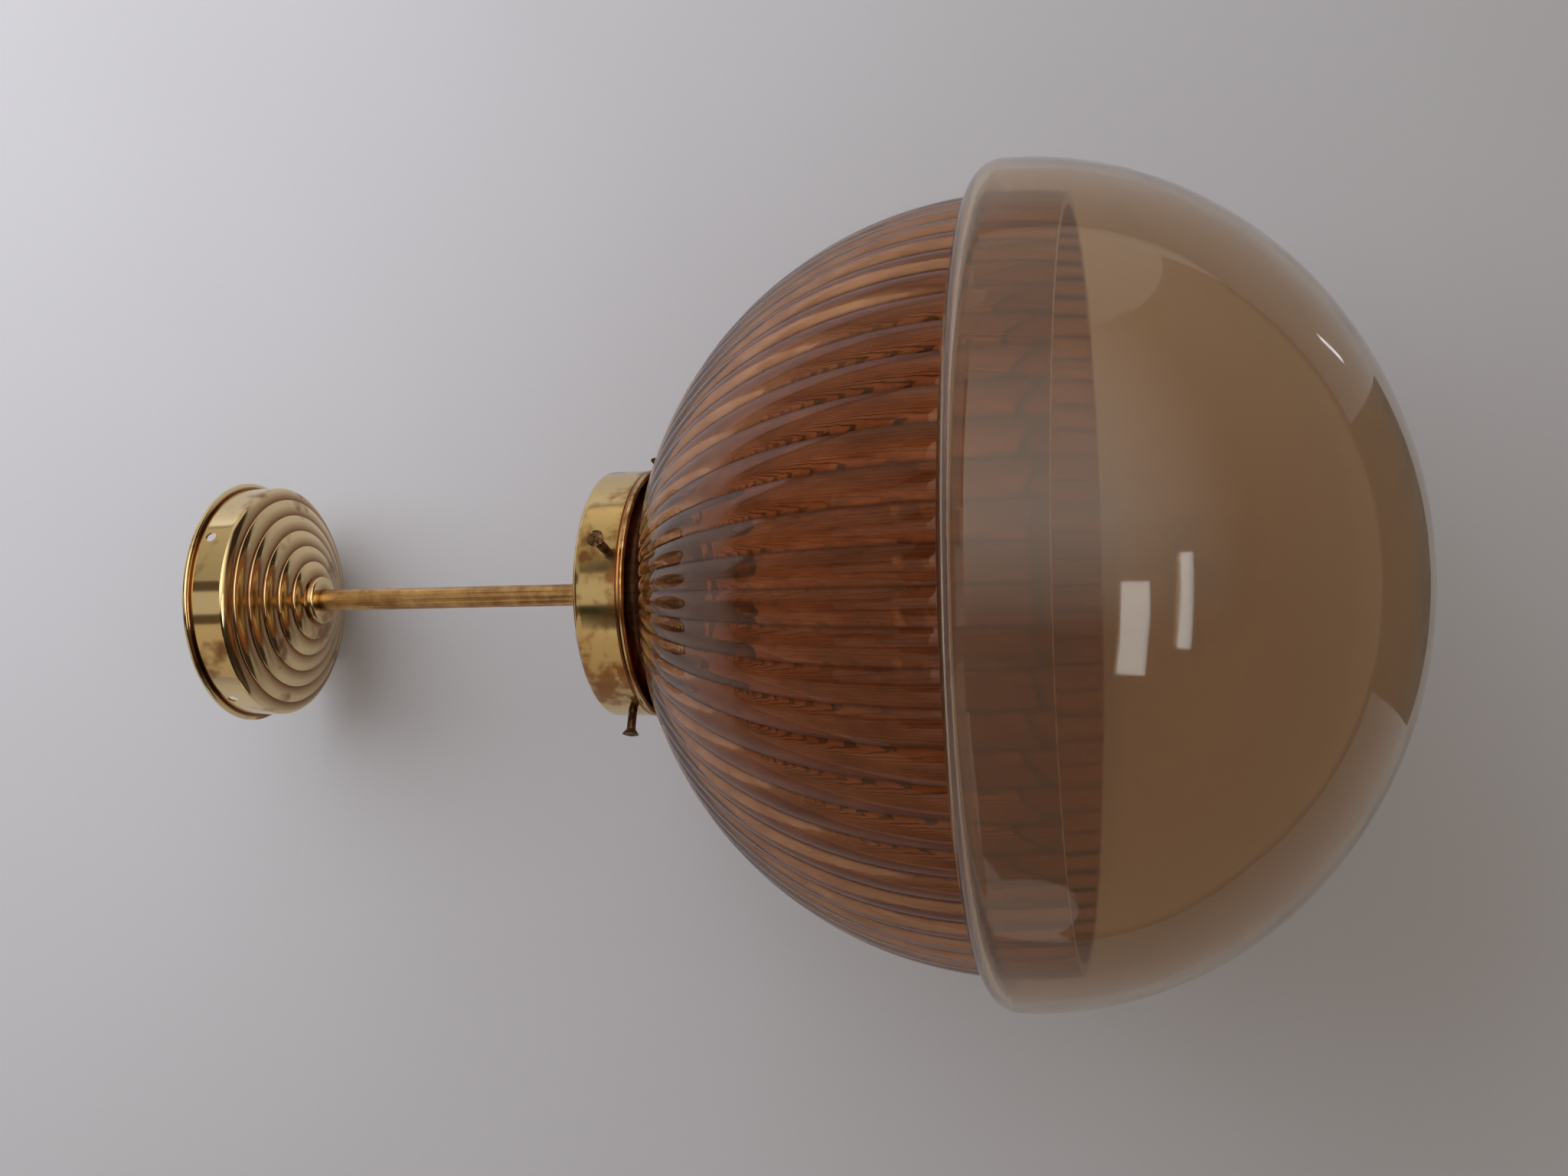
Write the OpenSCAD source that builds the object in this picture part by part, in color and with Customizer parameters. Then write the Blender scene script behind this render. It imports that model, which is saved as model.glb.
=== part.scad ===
// Ceiling pendant: a stepped spun canopy, a rod, a four-screw gallery and a two-part glass globe.
// The origin is the centre of the canopy's ceiling face, and the lamp hangs down along -Z.

/* [Canopy] */
// Outer diameter of the rolled rim that meets the ceiling
canopy_rim_d = 114; // [100:1:128]
// Height of the rolled rim
canopy_rim_h = 2.6; // [1.6:0.2:4]
// How far the rolled rim stands out from the side wall
canopy_rim_out = 2.8; // [2:0.1:5]
// Thickness of the spun sheet
canopy_sheet = 1; // [0.6:0.1:1.4]
// Height of the side wall, from the ceiling to the rounded edge of the face
canopy_wall_h = 19.2; // [16:0.2:26]
// Radius of the rounded edge between wall and face
canopy_edge_round = 2; // [1.2:0.1:3]
// Width of the first swell, next to that edge
canopy_band_w = 5.7; // [5:0.1:8]
// Fall of the first swell and of its groove
canopy_band_fall = 4.5; // [4.1:0.1:5]
// Number of steps on the face
canopy_steps = 6; // [4:1:7]
// Fall of each step
canopy_step_fall = 3; // [2.2:0.1:3.5]
// Radius of the tight turn at the foot of each step's swell
canopy_nose = 0.6; // [0.4:0.1:0.9]
// Radius of the groove between two steps
canopy_groove = 0.5; // [0.3:0.1:0.7]
// Diameter of the flat land that the tube passes through
canopy_land_d = 22.5; // [21:0.5:26]
// Radius of the rounded edge of that land
land_round = 1.2; // [0.8:0.1:1.4]
// Number of screw holes in the side wall
canopy_holes = 4; // [2:1:6]
// Diameter of each side screw hole
canopy_hole_d = 5; // [3:0.1:6]
// Distance of the side screw holes below the ceiling
canopy_hole_drop = 8; // [6.5:0.1:11]
// Direction of the first side screw hole, round the axis
canopy_hole_turn = -56.5; // [-90:0.5:90]

/* [Tube] */
// Outer diameter of the tube
tube_d = 10; // [8:0.5:12]
// Wall thickness of the tube
tube_wall = 1; // [0.8:0.1:1.2]
// Length of tube that shows between the canopy and the gallery
tube_show = 147.5; // [80:0.5:400]
// Length of tube above the canopy's face, inside the canopy
tube_top = 16.7; // [15.5:0.1:18]
// Length of tube below the gallery's plate
tube_tail = 9; // [8:0.5:11]

/* [Nuts] */
// Width across flats of the hexagon nuts
nut_af = 14; // [13:0.5:15]
// Height of a full nut
nut_h = 6; // [4:0.5:6.5]
// Height of the thin lock nut
locknut_h = 3; // [2:0.5:3.5]
// Diameter of the washers
washer_d = 18; // [16:0.5:19]
// Thickness of the washers
washer_t = 1.5; // [1:0.1:1.8]
// Thickness of the earth tag
tag_t = 0.8; // [0.5:0.1:1]
// Reach of the earth tag's tongue from the axis
tag_reach = 15.5; // [14:0.5:17]
// Width of the earth tag's tongue
tag_w = 5; // [4:0.5:7]

/* [Gallery] */
// Outer diameter of the gallery's wall
gallery_d = 110.4; // [108:0.2:118]
// Height of the gallery
gallery_h = 23.3; // [21:0.1:30]
// Sheet thickness of the gallery
gallery_sheet = 1.2; // [0.8:0.1:1.6]
// Radius of the rounded shoulder above the wall
gallery_shoulder = 3; // [2:0.1:5]
// Thickness of the rolled bead at the lower edge
gallery_bead = 2.2; // [1.6:0.1:3]
// How far the bead stands out from the wall
gallery_bead_out = 0.8; // [0.4:0.1:1.4]
// Depth of the fine line pressed in above the bead
gallery_line = 0.4; // [0.2:0.1:0.6]
// Number of gallery screws
gallery_screws = 4; // [4:1:4]
// Distance of the screws below the gallery's plate
screw_drop = 14; // [12:0.1:16]
// Direction of the first gallery screw, round the axis
screw_turn = -69.5; // [-90:0.5:90]
// Diameter of a gallery screw
screw_d = 4; // [3:0.1:4.5]
// Length of a gallery screw under its head
screw_len = 13; // [10:0.5:18]
// Diameter of a screw head
screw_head_d = 7.4; // [6.5:0.1:8]
// Height of the cone under a screw head
screw_head_cone = 2.1; // [1.6:0.1:2.6]
// Height of the domed top of a screw head
screw_head_dome = 0.8; // [0.5:0.1:1.4]
// Width of the slot in a screw head
screw_slot_w = 1; // [0.7:0.1:1.3]
// Depth of the slot in a screw head
screw_slot_h = 1.4; // [1:0.1:1.8]

/* [Upper bowl] */
// Outer radius of the ribbed globe, over the crests of the ribs
upper_r = 163.8; // [155:0.2:166]
// Distance from the gallery's lower edge down to where the ribs start
rib_drop = 4.5; // [3:0.1:6]
// Thickness of the glass under the ribs
upper_wall = 3.4; // [2.5:0.1:5]
// Number of ribs round the globe
rib_count = 72; // [36:1:80]
// Depth of the ribs
rib_depth = 1.5; // [0.6:0.1:2]
// Length of the ribbed skirt below the widest place
skirt_drop = 26.7; // [18:0.1:34]
// Gap between the gallery's wall and the plain neck
neck_room = 3.5; // [2.6:0.1:5]
// Thickness of the neck's wall
neck_wall = 4; // [3:0.1:5]
// Gap between the gallery's wall and the neck's lip
lip_room = 0.6; // [0.4:0.1:1.2]
// Height of the neck's lip
neck_lip_h = 4; // [3:0.1:4.4]
// Gap from the gallery's plate to the top of the neck
neck_gap = 4; // [3:0.1:5]

/* [Lower bowl] */
// How far the lower bowl's widest place stands out beyond the ribs
lower_out = 13.2; // [9:0.1:17]
// Depth of the lower bowl, from its widest place to its bottom
lower_depth = 163.5; // [150:0.5:190]
// Thickness of the lower bowl
lower_wall = 4; // [3:0.1:5]
// Radial gap from the ribs to the in-turned lip
lip_gap = 1.5; // [1.1:0.1:2]
// Height of the lip's top above the middle of the ribbed globe
lip_rise = 10.1; // [6:0.1:14]
// Thickness of the cement bead under the lip
cement_h = 3.2; // [2:0.1:3.6]

/* [Lampholder] */
// Outer diameter of the lampholder's cap
holder_d = 41; // [39:0.5:46]
// Height of the cap
cap_h = 26; // [24:0.5:30]
// Diameter of the cap's threaded neck
cap_neck_d = 17; // [16:0.5:20]
// Height of the cap's threaded neck
cap_neck_h = 7; // [6:0.5:8]
// Thickness of the moulded walls
holder_wall = 2; // [1.6:0.1:2.2]
// Whole height of the lampholder below the gallery's plate
holder_h = 60; // [58:0.5:66]
// Length of the sleeve's thread inside the cap
sleeve_grip = 8; // [6:0.5:9]
// Diameter of the ceramic insert
insert_d = 32; // [30:0.2:32.6]
// Height of the ceramic insert's flange
insert_h = 12; // [10:0.5:13]
// Height of the boss below the insert's flange
insert_boss_h = 6; // [4:0.5:8]
// Inner diameter of the screw shell for the lamp cap
shell_d = 26.4; // [26.2:0.1:27]
// Sheet thickness of the screw shell
shell_t = 0.5; // [0.3:0.1:0.6]
// Pitch of the screw shell's rolled thread
shell_pitch = 3.6; // [3:0.1:4]
// Depth of the screw shell's rolled thread
shell_wave = 0.7; // [0.4:0.1:0.8]
// Distance of each terminal screw from the axis
terminal_r = 9; // [8.5:0.1:10]
// Width of the contact strips
contact_w = 5; // [4:0.5:6]
// Thickness of the contact strips
contact_t = 0.5; // [0.3:0.1:0.8]
// Drop of the centre contact's spring tongue
contact_drop = 2.5; // [2:0.1:3]

/* [Wiring] */
// Outer diameter of a wire
wire_d = 2.2; // [1.6:0.1:2.6]
// Distance of each wire in the tube from the axis
wire_off = 1.6; // [1.4:0.1:1.8]
// Length of the terminal block across its poles
block_l = 26; // [24:0.5:30]
// Width of the terminal block along its poles
block_w = 16; // [14:0.5:20]
// Height of the terminal block
block_h = 12; // [10:0.5:13]
// Distance from the axis to the near face of the terminal block
block_x = 20; // [18:0.5:23]
// Depth of the terminal block's top below the ceiling
block_drop = 4.5; // [3:0.5:6]
// Pitch of the block's three poles
pole_pitch = 8; // [7:0.1:9]
// Outer diameter of the brass insert in each pole
pole_d = 5; // [4.4:0.1:5.6]

/* [Hidden] */
$fn = 96;

// Clearance of a thread or of a piece seated in another
seat = 0.1;
// Running clearance of a gallery screw in its tapped hole
run = 0.05;
// Gap between the glass and what nearly touches it
glass_gap = 0.3;
// Allowance by which a cutting solid passes the face it cuts
cut = 1;
// Steps along each rounded corner of a profile
arc_steps = 6;
// Steps along a long glass curve
bowl_steps = 36;

tube_r = tube_d / 2;
bore_r = tube_r - tube_wall;
hole_r = tube_r + seat;

rim_r = canopy_rim_d / 2;
wall_r = rim_r - canopy_rim_out;
band_r = wall_r - canopy_band_w;
land_r = canopy_land_d / 2;
step_pitch = (band_r - land_r) / (canopy_steps - 1);
band_z = -canopy_wall_h - canopy_band_fall;
face_z = band_z - canopy_step_fall * (canopy_steps - 1);
stack_z = face_z + canopy_sheet;

plate_z = face_z - tube_show;
under_z = plate_z - gallery_sheet;
gallery_r = gallery_d / 2;
gallery_low = plate_z - gallery_h;
screw_z = plate_z - screw_drop;

neck_r = gallery_r - gallery_sheet - neck_room;
neck_lip = neck_room - lip_room;
neck_top = under_z - neck_gap;
valley_r = upper_r - rib_depth;
inner_r = valley_r - upper_wall;
// Angle from straight up at which the ribs start and end
rib_from = asin((neck_r + rib_depth + cut) / upper_r);
rib_to = 90 + asin(skirt_drop / upper_r);
// Heights of the ribs' upper end and of the ribbed globe's middle
foot_z = gallery_low - rib_drop;
globe_z = foot_z - upper_r * cos(rib_from);
rib_rings = 12;
rib_sides = 4;
// Steps along the smooth inside of the ribbed bowl, and round the neck's lip
ball_steps = 12;
lip_steps = 4;

lip_r = upper_r + lip_gap;
lip_z = globe_z + lip_rise;
lower_r = upper_r + lower_out;
lip_round = lower_r - lip_r;
wide_z = lip_z - lip_round;

cap_r = holder_d / 2;
cap_low = under_z - cap_h;
holder_low = under_z - holder_h;
sleeve_r = cap_r - holder_wall - seat;
sleeve_top = cap_low + sleeve_grip;
insert_r = insert_d / 2;
insert_top = sleeve_top - seat;
insert_low = insert_top - insert_h;
boss_low = insert_low - insert_boss_h;
shell_r = shell_d / 2;
shell_low = holder_low + holder_wall;
shell_turns = 5;
shell_top = insert_low - contact_t;
ledge_r = shell_r + shell_wave + shell_t + seat;
// Radius of the small screw that locks the cap on the tube
grub_r = 1.5;

nut_z = stack_z + washer_t;
tag_z = nut_z + nut_h;
locknut_z = tag_z + tag_t;
block_z = -block_drop - block_h / 2;
wire_r = wire_d / 2;
// Sides of a wire's section, and the radius of its bend over the tube's end
wire_sides = 8;
wire_rise = 5;
pole_r = pole_d / 2;
pole_bore = wire_r + run;
// Radius of the small screws in the block's poles and in the lampholder's terminals
clamp_r = pole_r / 2;

// A round stretch of a profile, as points on an arc from angle a0 to a1.
function arc(cr, cz, r, a0, a1, n = arc_steps) =
    [for (i = [0:n]) let (a = a0 + (a1 - a0) * i / n) [cr + r * cos(a), cz + r * sin(a)]];

// One step of the spun face: a tight turn of radius nose, then one long swell that ends level at
// height z. It goes w in and h down past the turn, so it turns through 2 atan(h / w).
function step_swell(r, z, w, h, nose) = let (
    turn = 2 * atan(h / w),
    reach = w / sin(turn)) concat(
    arc(r - nose, z + h + nose, nose, 0, turn - 90, 3),
    arc(r - nose - w, z + nose + reach, nose + reach, turn - 90, -90, 4));
function step_groove(r, z) = arc(r + canopy_groove, z - canopy_groove, canopy_groove, 90, 180, 2);

// The canopy's outside from its rounded edge to the land round the tube.
function canopy_face() = concat(
    step_swell(wall_r, band_z + canopy_step_fall, canopy_band_w - canopy_groove - canopy_edge_round,
               canopy_band_fall - canopy_step_fall, canopy_edge_round),
    step_groove(band_r, band_z + canopy_step_fall),
    [for (k = [0:canopy_steps - 2])
        each let (r = band_r - k * step_pitch, z = band_z - k * canopy_step_fall)
            concat(step_swell(r, z, step_pitch - canopy_groove - canopy_nose,
                              canopy_step_fall - canopy_groove - canopy_nose, canopy_nose),
                   step_groove(r - step_pitch, z))],
    arc(land_r - land_round, face_z + land_round, land_round, 0, -90, 3));

function reverse(list) = [for (i = [len(list) - 1:-1:0]) list[i]];

// The inside of the spun sheet is its outside moved in and up by the sheet's thickness.
function canopy_profile() = let (
    outside = canopy_face(),
    bead = canopy_rim_h / 2) concat(
    [[wall_r - canopy_sheet, 0]],
    arc(rim_r - bead, -bead, bead, 90, -90),
    [[wall_r, -canopy_rim_h]],
    outside,
    [[hole_r, face_z], [hole_r, stack_z]],
    [for (p = reverse(outside)) [p.x - canopy_sheet, p.y + canopy_sheet]]);

module around(profile) {
    rotate_extrude() polygon(profile);
}

module canopy() {
    color("#c9a45c") difference() {
        around(canopy_profile());
        for (k = [0:canopy_holes - 1])
            rotate([0, 0, canopy_hole_turn + 360 * k / canopy_holes])
                translate([wall_r / 2, 0, -canopy_hole_drop])
                    rotate([0, 90, 0]) cylinder(d = canopy_hole_d, h = wall_r);
    }
}

module ring(z, r_out, r_in, h) {
    translate([0, 0, z]) difference() {
        cylinder(r = r_out, h = h);
        translate([0, 0, -cut]) cylinder(r = r_in, h = h + 2 * cut);
    }
}

// A hexagon nut with its corners turned off, standing on height z.
module hex_nut(z, h) {
    corner_r = nut_af / sqrt(3);
    bevel = (corner_r - nut_af / 2) / 2;
    translate([0, 0, z]) difference() {
        intersection() {
            cylinder(r = corner_r, h = h, $fn = 6);
            around([[0, 0], [corner_r - bevel, 0], [corner_r, bevel],
                    [corner_r, h - bevel], [corner_r - bevel, h], [0, h]]);
        }
        translate([0, 0, -cut]) cylinder(r = hole_r, h = h + 2 * cut);
    }
}

module canopy_washer() {
    color("#b99b5e") ring(stack_z, washer_d / 2, hole_r, washer_t);
}

module canopy_nut() {
    color("#b0b0a8") hex_nut(nut_z, nut_h);
}

// A ring on the tube with a flat tongue that the earth wire is soldered to.
module earth_tag() {
    inner = washer_d / 2 - cut;
    color("#c8a860") union() {
        ring(tag_z, washer_d / 2, hole_r, tag_t);
        translate([inner, -tag_w / 2, tag_z]) cube([tag_reach - inner, tag_w, tag_t]);
    }
}

module canopy_locknut() {
    color("#b0b0a8") hex_nut(locknut_z, locknut_h);
}

module at_poles() {
    for (k = [-1:1]) translate([block_x, k * pole_pitch, block_z]) children();
}

module terminal_block() {
    color("#ded8c4") difference() {
        translate([block_x, -block_l / 2, block_z - block_h / 2]) cube([block_w, block_l, block_h]);
        at_poles() {
            translate([-cut, 0, 0]) rotate([0, 90, 0]) cylinder(r = pole_r + seat, h = block_w + 2 * cut);
            for (x = [block_w / 4, block_w * 3 / 4])
                translate([x, 0, 0]) cylinder(r = clamp_r + seat, h = block_h);
        }
    }
}

module terminal_inserts() {
    color("#c8a860") at_poles() difference() {
        rotate([0, 90, 0]) cylinder(r = pole_r, h = block_w);
        translate([-cut, 0, 0]) rotate([0, 90, 0]) cylinder(r = pole_bore, h = block_w + 2 * cut);
        for (x = [block_w / 4, block_w * 3 / 4])
            translate([x, 0, 0]) cylinder(r = clamp_r + seat, h = pole_d);
    }
}

module terminal_screws() {
    color("#9a9a94") at_poles() for (x = [block_w / 4, block_w * 3 / 4])
        translate([x, 0, pole_bore]) cylinder(r = clamp_r, h = block_h / 2 - pole_bore - seat);
}

// Corners of a ring of the wire's surface round the point p, square to the direction t.
function unit(v) = v / norm(v);
function wire_ring(p, t) = let (n = unit(cross(t, [0, 1, 0])), b = cross(n, t))
    [for (i = [0:wire_sides - 1]) let (a = 360 * i / wire_sides)
        p + wire_r * (cos(a) * n + sin(a) * b)];

// A wire swept along its route: a ring at every point, joined side by side, with flat ends.
module wire(route) {
    last = len(route) - 1;
    rings = [for (i = [0:last])
        wire_ring(route[i], unit(route[min(i + 1, last)] - route[max(i - 1, 0)]))];
    sides = [for (i = [0:last - 1], j = [0:wire_sides - 1]) let (
        a = i * wire_sides + j,
        b = i * wire_sides + (j + 1) % wire_sides) [a, b, b + wire_sides, a + wire_sides]];
    ends = [[for (j = [wire_sides - 1:-1:0]) j], [for (j = [0:wire_sides - 1]) last * wire_sides + j]];
    polyhedron([for (r = rings) each r], concat(sides, ends));
}

// Points of a quarter turn from straight up at (0, y) to straight out at (r, y), of radius r.
function wire_bend(y, z, r) =
    [for (i = [0:arc_steps]) let (a = 90 * i / arc_steps) [r * (1 - cos(a)), y, z + r * sin(a)]];

// From a terminal screw of the lampholder, up the tube, over the canopy's nuts and to a pole.
function mains_route(side) = concat(
    [[0, side * terminal_r, insert_top + wire_d],
     [0, side * terminal_r, insert_top + wire_d + wire_rise / 5],
     [0, side * (terminal_r + wire_off) / 2, insert_top + wire_rise],
     [0, side * wire_off, under_z - tube_tail],
     [0, side * wire_off, under_z]],
    wire_bend(side * wire_off, block_z - wire_rise, wire_rise),
    [[block_x / 2, side * (wire_off + pole_pitch) / 2, block_z],
     [block_x * 3 / 4, side * pole_pitch, block_z],
     [block_x + block_w / 4, side * pole_pitch, block_z]]);

module wire_live() {
    color("#5a3a24") wire(mains_route(1));
}

module wire_neutral() {
    color("#3a4a78") wire(mains_route(-1));
}

module wire_earth() {
    tag_top = tag_z + tag_t;
    foot = tag_reach - wire_d;
    color("#6f8a3a") wire([
        [foot, 0, tag_top],
        [foot, 0, tag_top + wire_rise],
        [(foot + block_x) / 2, 0, block_z - wire_rise / 2],
        [block_x - wire_r, 0, block_z],
        [block_x + block_w / 4, 0, block_z]]);
}

module tube() {
    low = under_z - tube_tail;
    color("#b98d4a") ring(low, tube_r, bore_r, face_z + tube_top - low);
}

module gallery_washer() {
    color("#b99b5e") ring(plate_z, washer_d / 2, hole_r, washer_t);
}

module gallery_nut() {
    color("#b99b5e") hex_nut(plate_z + washer_t, nut_h);
}

function gallery_profile() = let (
    bead = gallery_bead / 2,
    line_z = gallery_low + gallery_bead + bead,
    inside = gallery_r - gallery_sheet) concat(
    [[hole_r, plate_z]],
    arc(gallery_r - gallery_shoulder, plate_z - gallery_shoulder, gallery_shoulder, 90, 0),
    [[gallery_r, line_z + gallery_line], [gallery_r - gallery_line, line_z],
     [gallery_r, line_z - gallery_line]],
    arc(gallery_r + gallery_bead_out - bead, gallery_low + bead, bead, 90, -90),
    [[inside, gallery_low]],
    arc(gallery_r - gallery_shoulder, plate_z - gallery_shoulder, gallery_shoulder - gallery_sheet, 0, 90),
    [[hole_r, under_z]]);

module at_screw(k) {
    rotate([0, 0, screw_turn + 360 * (k - 1) / gallery_screws]) translate([0, 0, screw_z]) children();
}

module gallery() {
    color("#cfa55a") difference() {
        around(gallery_profile());
        for (k = [1:gallery_screws])
            at_screw(k) translate([gallery_r / 2, 0, 0]) rotate([0, 90, 0])
                cylinder(d = screw_d + 2 * run, h = gallery_r);
    }
}

// A slotted screw with a raised countersunk head, its tip near the glass neck and its head outside.
module gallery_screw(k) {
    tip = neck_r + glass_gap;
    r = screw_d / 2;
    point = r / 4;
    head_r = screw_head_d / 2;
    head_h = screw_head_cone + screw_head_dome;
    // The dome is a cap of a ball that has the head's diameter at its edge
    ball_r = (head_r * head_r + screw_head_dome * screw_head_dome) / (2 * screw_head_dome);
    dome_a = asin(head_r / ball_r);
    color("#8a6a3c") at_screw(k) translate([tip, 0, 0]) rotate([0, 90, 0]) difference() {
        around(concat([[0, 0], [r - point, 0], [r, point], [r, screw_len],
                       [head_r, screw_len + screw_head_cone]],
                      arc(0, screw_len + head_h - ball_r, ball_r, 90 - dome_a, 90)));
        translate([-head_r - cut, -screw_slot_w / 2, screw_len + head_h - screw_slot_h])
            cube([screw_head_d + 2 * cut, screw_slot_w, screw_slot_h + cut]);
    }
}

module holder_cap() {
    neck = cap_neck_d / 2;
    drop = under_z - cap_neck_h;
    dome_r = cap_r - neck;
    skirt_z = drop - dome_r;
    color("#26221f") difference() {
        around(concat(
            [[hole_r, under_z], [neck, under_z], [neck, drop]],
            arc(neck, skirt_z, dome_r, 90, 0),
            [[cap_r, cap_low], [cap_r - holder_wall, cap_low]],
            arc(neck, skirt_z, dome_r - holder_wall, 0, 90),
            [[hole_r, drop - holder_wall]]));
        translate([0, 0, under_z - cap_neck_h / 2]) rotate([-90, 0, 0])
            cylinder(r = grub_r + seat, h = cap_r);
    }
}

module holder_grub_screw() {
    reach = cap_neck_d / 2 - tube_r;
    color("#8f8f88") translate([0, tube_r + seat, under_z - cap_neck_h / 2]) rotate([-90, 0, 0])
        difference() {
            cylinder(r = grub_r, h = reach);
            translate([-grub_r - cut, -grub_r / 4, reach - grub_r / 2])
                cube([2 * (grub_r + cut), grub_r / 2, grub_r]);
        }
}

// A thin moulded sleeve: a threaded collar, a ledge under the insert, and an in-turned lip.
module holder_sleeve() {
    shoulder = insert_low - seat;
    skirt_r = cap_r - holder_wall / 2;
    color("#26221f") around([
        [insert_r + seat, sleeve_top], [sleeve_r, sleeve_top], [sleeve_r, cap_low - seat],
        [cap_r, cap_low - seat], [cap_r, cap_low - holder_wall], [skirt_r, cap_low - 2 * holder_wall],
        [skirt_r, holder_low + holder_wall / 2], [skirt_r - holder_wall / 2, holder_low],
        [ledge_r, holder_low], [ledge_r, holder_low + holder_wall],
        [skirt_r - holder_wall, holder_low + holder_wall], [skirt_r - holder_wall, shoulder - holder_wall],
        [ledge_r, shoulder - holder_wall], [ledge_r, shoulder], [insert_r + seat, shoulder]]);
}

// Where each terminal screw ends: on the side contact under the flange, or through the boss.
function terminal_low(side) = side > 0 ? insert_low : boss_low;

module holder_insert() {
    slot_w = contact_w + 2 * seat;
    color("#e8e4d8") difference() {
        union() {
            translate([0, 0, insert_low]) cylinder(r = insert_r, h = insert_h);
            translate([0, 0, boss_low]) cylinder(r = shell_r - seat, h = insert_boss_h);
        }
        for (side = [-1, 1]) translate([0, side * terminal_r, terminal_low(side) - cut])
            cylinder(r = clamp_r + seat, h = insert_h + insert_boss_h + 2 * cut);
        translate([-slot_w / 2, terminal_r - slot_w / 2, insert_low - contact_t - seat])
            cube([slot_w, insert_r, contact_t + seat]);
    }
}

module holder_terminals() {
    color("#c8a860") for (side = [-1, 1]) translate([0, side * terminal_r, 0]) {
        translate([0, 0, terminal_low(side)]) cylinder(r = clamp_r, h = insert_top - terminal_low(side));
        translate([0, 0, insert_top]) cylinder(r = pole_r, h = wire_d);
    }
}

// A spring strip under the boss, folded down and back so that its tongue meets the lamp's centre contact.
module holder_centre_contact() {
    t = contact_t;
    w = contact_w;
    start = -terminal_r - w / 2;
    color("#d0a860") rotate([90, 0, 90]) translate([0, 0, -w / 2]) linear_extrude(w) polygon([
        [start, boss_low], [w, boss_low], [w, boss_low - contact_drop], [-w, boss_low - contact_drop],
        [-w, boss_low - contact_drop + t], [w - t, boss_low - contact_drop + t],
        [w - t, boss_low - t], [start, boss_low - t]]);
}

// A strip in the boss's slot that joins the other terminal to the screw shell.
module holder_side_contact() {
    end = shell_r + shell_t;
    start = terminal_r - contact_w / 2;
    color("#d0a860") translate([-contact_w / 2, start, insert_low - contact_t])
        cube([contact_w, end - start, contact_t]);
}

// The rolled screw shell: a thin sleeve whose wall swells out and in once for every thread.
module holder_thread() {
    steps = shell_turns * 8;
    span = shell_pitch * shell_turns;
    start = shell_low + (shell_top - shell_low - span) / 2;
    wave = [for (i = [0:steps])
        [shell_r + shell_wave / 2 * (1 - cos(360 * shell_turns * i / steps)), start + span * i / steps]];
    color("#d8b064") around(concat(
        [[shell_r, shell_low]], wave, [[shell_r, shell_top], [shell_r + shell_t, shell_top]],
        [for (p = reverse(wave)) [p.x + shell_t, p.y]], [[shell_r + shell_t, shell_low]]));
}

// Levels of the ribbed bowl as one closed outline, each a radius, a height and the depth of its ribs:
// up the outside from the skirt's end, over the neck's lip, and down the smooth inside.
function bowl_levels() = let (
    bore = neck_r - neck_wall,
    lip = neck_lip_h / 2,
    outside = ball(upper_r, rib_to, rib_from, rib_rings),
    neck = concat(
        arc(neck_r + rib_depth, foot_z + rib_depth, rib_depth, 240, 180, 2),
        [[neck_r, neck_top - neck_lip_h - neck_lip]],
        [for (i = [0:lip_steps]) let (a = 180 * i / lip_steps)
            [neck_r + neck_lip * sin(a), neck_top - lip - lip * cos(a)]],
        [[bore, neck_top]]),
    inside = ball(inner_r, asin(bore / inner_r), 90 + asin(skirt_drop / inner_r), ball_steps))
    concat([for (p = outside) [p.x, p.y, rib_depth]], [for (p = concat(neck, inside)) [p.x, p.y, 0]]);

// Points on the globe's own outline, at radius r and from angle a0 to a1 from straight up.
function ball(r, a0, a1, n) =
    [for (i = [0:n]) let (a = a0 + (a1 - a0) * i / n) [r * sin(a), globe_z + r * cos(a)]];

// The number of points in a level: a few for each rib where it is ribbed, else one for each rib.
function level_size(l) = l[2] > 0 ? rib_count * rib_sides : rib_count;

// The points of a level. A rib is a convex swell between two sharp valleys.
function level_points(l) = let (n = level_size(l)) [for (j = [0:n - 1]) let (
    turn = 360 * j / n,
    r = l[0] - l[2] * (1 - abs(sin(180 * rib_count * j / n))))
    [r * cos(turn), r * sin(turn), l[1]]];

// Faces between two neighbouring levels, each given as its first point and its number of points.
function strip(a, b) = let (
    rising = a[1] >= b[1],
    fine = rising ? a : b,
    coarse = rising ? b : a,
    m = fine[1] / coarse[1])
    [for (k = [0:fine[1] - 1]) let (
        f0 = fine[0] + k,
        f1 = fine[0] + (k + 1) % fine[1],
        c0 = coarse[0] + round(k / m) % coarse[1],
        c1 = coarse[0] + round((k + 1) / m) % coarse[1])
        each concat([rising ? [f0, c0, f1] : [f0, f1, c0]],
                    c0 == c1 ? [] : [rising ? [f1, c0, c1] : [f1, c1, c0]])];

// A running total of the list up to place n.
function total(list, n) = n < 1 ? 0 : list[n - 1] + total(list, n - 1);

// The ribbed glass is one skin lofted through all its levels, which close on themselves.
module upper_bowl() {
    levels = bowl_levels();
    sizes = [for (l = levels) level_size(l)];
    starts = [for (i = [0:len(sizes) - 1]) [total(sizes, i), sizes[i]]];
    color("#8a5a3a", 0.6) polyhedron(
        [for (l = levels) each level_points(l)],
        [for (i = [0:len(starts) - 1]) each strip(starts[i], starts[(i + 1) % len(starts)])]);
}

module bowl_cement() {
    color("#5a4a40") ring(lip_z - lower_wall + seat, lip_r - seat, upper_r + glass_gap, cement_h);
}

// Points along the bowl's curve below its widest place, an oval of radius r and depth d.
function oval(r, d) = [for (i = [0:bowl_steps]) let (a = 90 * i / bowl_steps)
    [r * cos(a), wide_z - d * sin(a)]];

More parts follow.
